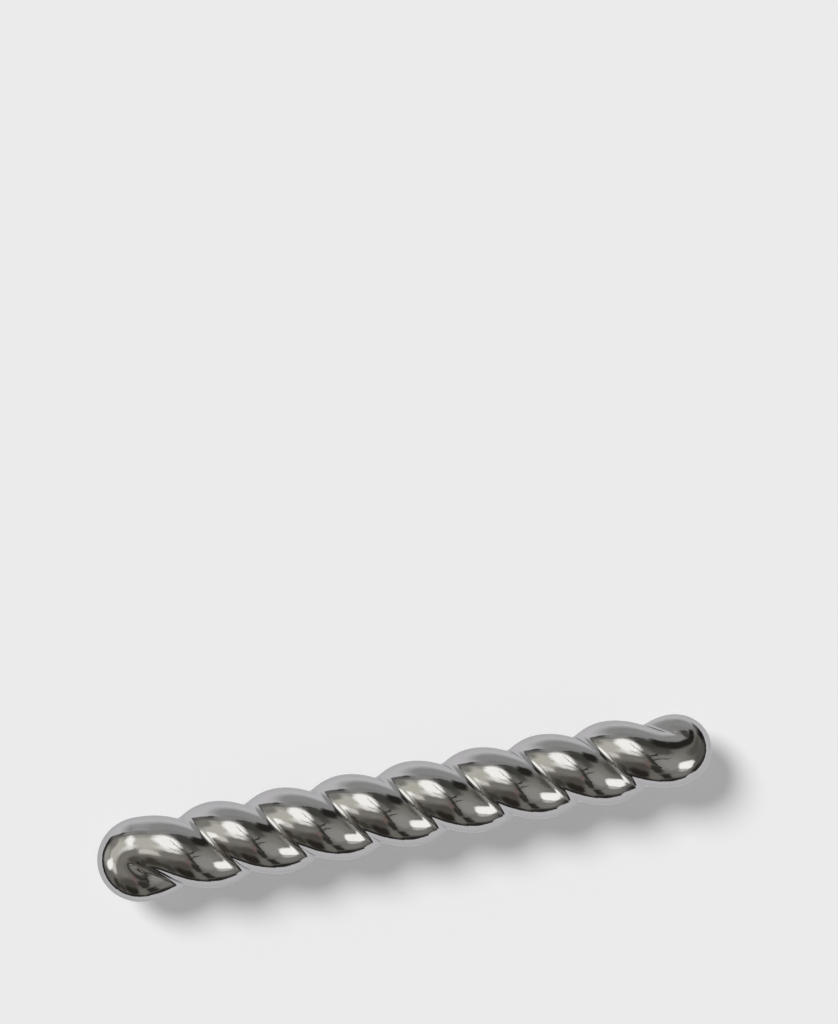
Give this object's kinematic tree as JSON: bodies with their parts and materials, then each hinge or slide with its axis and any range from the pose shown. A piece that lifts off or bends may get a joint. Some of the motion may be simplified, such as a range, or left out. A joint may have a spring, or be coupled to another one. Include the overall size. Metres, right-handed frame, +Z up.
{
  "type": "hair barrette",
  "caption": "Hair barrette: a polished metal bar, half round with a flat back, in the shape of a tube loop twisted like a rope, with a plain clip and hair gap under it.",
  "frame": {"origin": "middle of the length and width of the whole part, at the flat underside of the clasp that it rests on", "axes": "+X along the bar towards its slimmer end, +Z up out of the clasp towards the side of the bar that shows"},
  "size_m": [0.0959, 0.0132, 0.0128],
  "materials": {
    "bar_metal": "mirror polished silver-tone plating with fine wear",
    "clasp_steel": "satin spring steel"
  },
  "bodies": {
    "root": {"twist_bar": "bar_metal", "clasp": "clasp_steel"}
  },
  "joints": []
}
